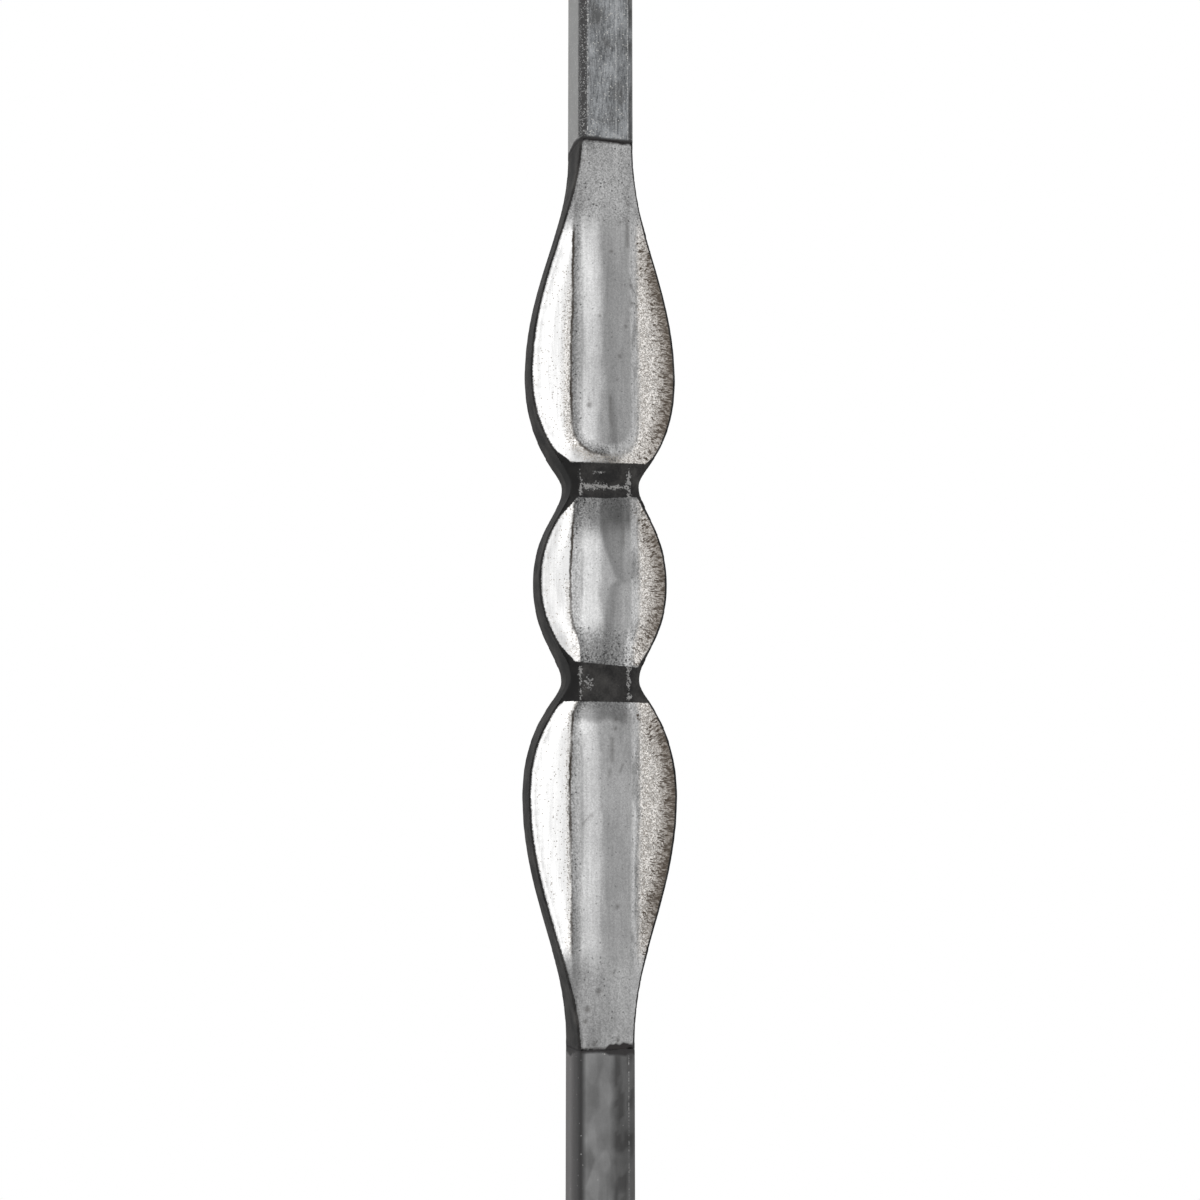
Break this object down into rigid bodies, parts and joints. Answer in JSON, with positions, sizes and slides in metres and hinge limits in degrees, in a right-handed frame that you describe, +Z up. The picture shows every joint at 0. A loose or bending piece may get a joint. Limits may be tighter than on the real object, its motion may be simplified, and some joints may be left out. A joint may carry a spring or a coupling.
{
  "type": "stair baluster",
  "caption": "Square steel stair baluster whose forged middle swells into a round lobe between ribbed teardrop lobes; it is fixed upright below a handrail.",
  "frame": {"origin": "middle of the bottom end face", "axes": "+Z up along the bar towards the handrail; the broad ribbed faces look along -Y and +Y"},
  "size_m": [0.0378, 0.0148, 1],
  "materials": {
    "mill_steel": "bare hot-rolled square bar, dull grey mill surface with fine lengthwise scratches",
    "forged_steel": "bare stamped steel: bright ground faces, dark forge scale in the necks and on the sides"
  },
  "bodies": {
    "root": {"lower_bar": "mill_steel", "forged_centre": "forged_steel", "upper_bar": "mill_steel"}
  },
  "joints": []
}
